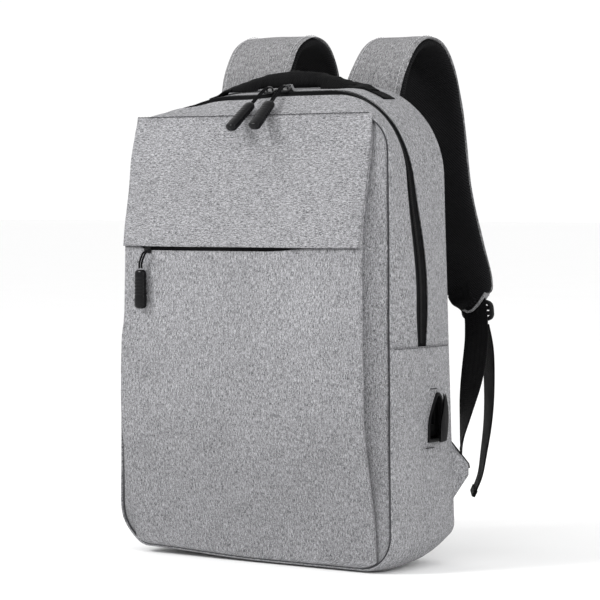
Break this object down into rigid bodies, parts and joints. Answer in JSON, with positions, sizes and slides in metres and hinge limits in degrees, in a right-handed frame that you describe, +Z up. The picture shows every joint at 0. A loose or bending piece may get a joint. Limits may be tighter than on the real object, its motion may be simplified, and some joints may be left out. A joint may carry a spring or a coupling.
{
  "type": "laptop backpack with a side charging port",
  "caption": "Slim laptop backpack with a clamshell main zip, a zipped front pocket, a side USB charging port, a carry handle and two padded shoulder straps.",
  "frame": {"origin": "on the floor, under the middle of the main compartment", "axes": "+X to the right as the front is seen, +Y back towards the shoulder straps, +Z up"},
  "size_m": [0.3214, 0.2475, 0.486],
  "materials": {
    "melange_fabric": "matte",
    "side_fabric": "matte",
    "lining_fabric": "matte",
    "mesh_black": "matte",
    "webbing_black": "matte",
    "zip_black": "satin",
    "slider_metal": "satin",
    "rubber_black": "satin",
    "plastic_black": "matte"
  },
  "bodies": {
    "root": {"back_panel": "melange_fabric", "back_pad_left": "mesh_black", "back_pad_right": "mesh_black", "lumbar_pad": "mesh_black", "rear_gusset": "side_fabric", "side_panel_left": "side_fabric", "side_panel_right": "side_fabric", "bottom_panel": "side_fabric", "front_wall_lower": "lining_fabric", "pocket_panel_lower": "melange_fabric", "pleat_lower_left": "melange_fabric", "pleat_lower_right": "melange_fabric", "front_piping_lower": "melange_fabric", "back_piping": "melange_fabric", "zip_tape_rear": "zip_black", "laptop_sleeve": "lining_fabric", "sleeve_strap": "webbing_black", "power_bank_pocket": "lining_fabric", "inner_organiser": "lining_fabric", "usb_bezel": "rubber_black", "usb_socket": "plastic_black", "strap_yoke": "melange_fabric", "gusset_tab_left": "melange_fabric", "gusset_tab_right": "melange_fabric", "lower_webbing_left": "webbing_black", "lower_webbing_right": "webbing_black", "handle_anchors": "webbing_black"},
    "front_lid": {"front_wall_upper": "lining_fabric", "front_gusset": "side_fabric", "flap_panel": "melange_fabric", "pocket_zip_tape": "zip_black", "pocket_panel_upper": "melange_fabric", "pleat_upper_left": "melange_fabric", "pleat_upper_right": "melange_fabric", "front_piping_upper": "melange_fabric", "zip_tape_front": "zip_black"},
    "slider_left": {"slider_left": "slider_metal"},
    "pull_left": {"pull_cord_left": "zip_black", "pull_grip_left": "rubber_black"},
    "slider_right": {"slider_right": "slider_metal"},
    "pull_right": {"pull_cord_right": "zip_black", "pull_grip_right": "rubber_black"},
    "slider_pocket": {"slider_pocket": "slider_metal"},
    "pull_pocket": {"pull_cord_pocket": "zip_black", "pull_grip_pocket": "rubber_black"},
    "usb_flap": {"usb_flap": "rubber_black"},
    "carry_handle": {"handle_grip": "mesh_black", "handle_core": "webbing_black"},
    "strap_left": {"strap_pad_left": "melange_fabric", "strap_mesh_left": "mesh_black", "strap_loop_left": "webbing_black", "ladder_lock_left": "plastic_black"},
    "tail_left": {"webbing_tail_left": "webbing_black"},
    "strap_right": {"strap_pad_right": "melange_fabric", "strap_mesh_right": "mesh_black", "strap_loop_right": "webbing_black", "ladder_lock_right": "plastic_black"},
    "tail_right": {"webbing_tail_right": "webbing_black"}
  },
  "joints": [
    {"name": "lid_hinge", "type": "hinge", "parent": "root", "child": "front_lid", "pos_m": [0, -0.0627, 0.2], "axis": [1, 0, 0], "range_deg": [0, 75]},
    {"name": "slider_left_slide", "type": "slide", "parent": "front_lid", "child": "slider_left", "axis": [1, 0, 0], "range_m": [-0.06, 0]},
    {"name": "pull_left_swing", "type": "hinge", "parent": "slider_left", "child": "pull_left", "pos_m": [-0.00067, -0.01625, 0.4347], "axis": [-0.9877, 0.1564, 0], "range_deg": [0, 80]},
    {"name": "slider_right_slide", "type": "slide", "parent": "front_lid", "child": "slider_right", "axis": [1, 0, 0], "range_m": [0, 0.048]},
    {"name": "pull_right_swing", "type": "hinge", "parent": "slider_right", "child": "pull_right", "pos_m": [0.01715, -0.0163, 0.4347], "axis": [-0.9994, -0.0349, 0], "range_deg": [0, 80]},
    {"name": "slider_pocket_slide", "type": "slide", "parent": "front_lid", "child": "slider_pocket", "axis": [1, 0, 0], "range_m": [0, 0.2]},
    {"name": "pull_pocket_swing", "type": "hinge", "parent": "slider_pocket", "child": "pull_pocket", "pos_m": [-0.108, -0.0683, 0.2815], "axis": [-1, 0, 0], "range_deg": [0, 90]},
    {"name": "usb_flap_hinge", "type": "hinge", "parent": "root", "child": "usb_flap", "pos_m": [0.1556, 0.047, 0.135], "axis": [0, 0, 1], "range_deg": [-12, 110]},
    {"name": "handle_lift", "type": "slide", "parent": "root", "child": "carry_handle", "axis": [0, 0, 1], "range_m": [0, 0.012]},
    {"name": "strap_left_swing", "type": "hinge", "parent": "root", "child": "strap_left", "pos_m": [-0.067, 0.0535, 0.42], "axis": [1, 0, 0], "range_deg": [-8, 3], "deforming": ["lower_webbing_left"]},
    {"name": "tail_left_swing", "type": "hinge", "parent": "strap_left", "child": "tail_left", "pos_m": [-0.125, 0.1658, 0.2085], "axis": [1, 0, 0], "range_deg": [-8, 20]},
    {"name": "strap_right_swing", "type": "hinge", "parent": "root", "child": "strap_right", "pos_m": [0.067, 0.0535, 0.42], "axis": [1, 0, 0], "range_deg": [-8, 3], "deforming": ["lower_webbing_right"]},
    {"name": "tail_right_swing", "type": "hinge", "parent": "strap_right", "child": "tail_right", "pos_m": [0.125, 0.1658, 0.2085], "axis": [1, 0, 0], "range_deg": [-8, 20]}
  ]
}
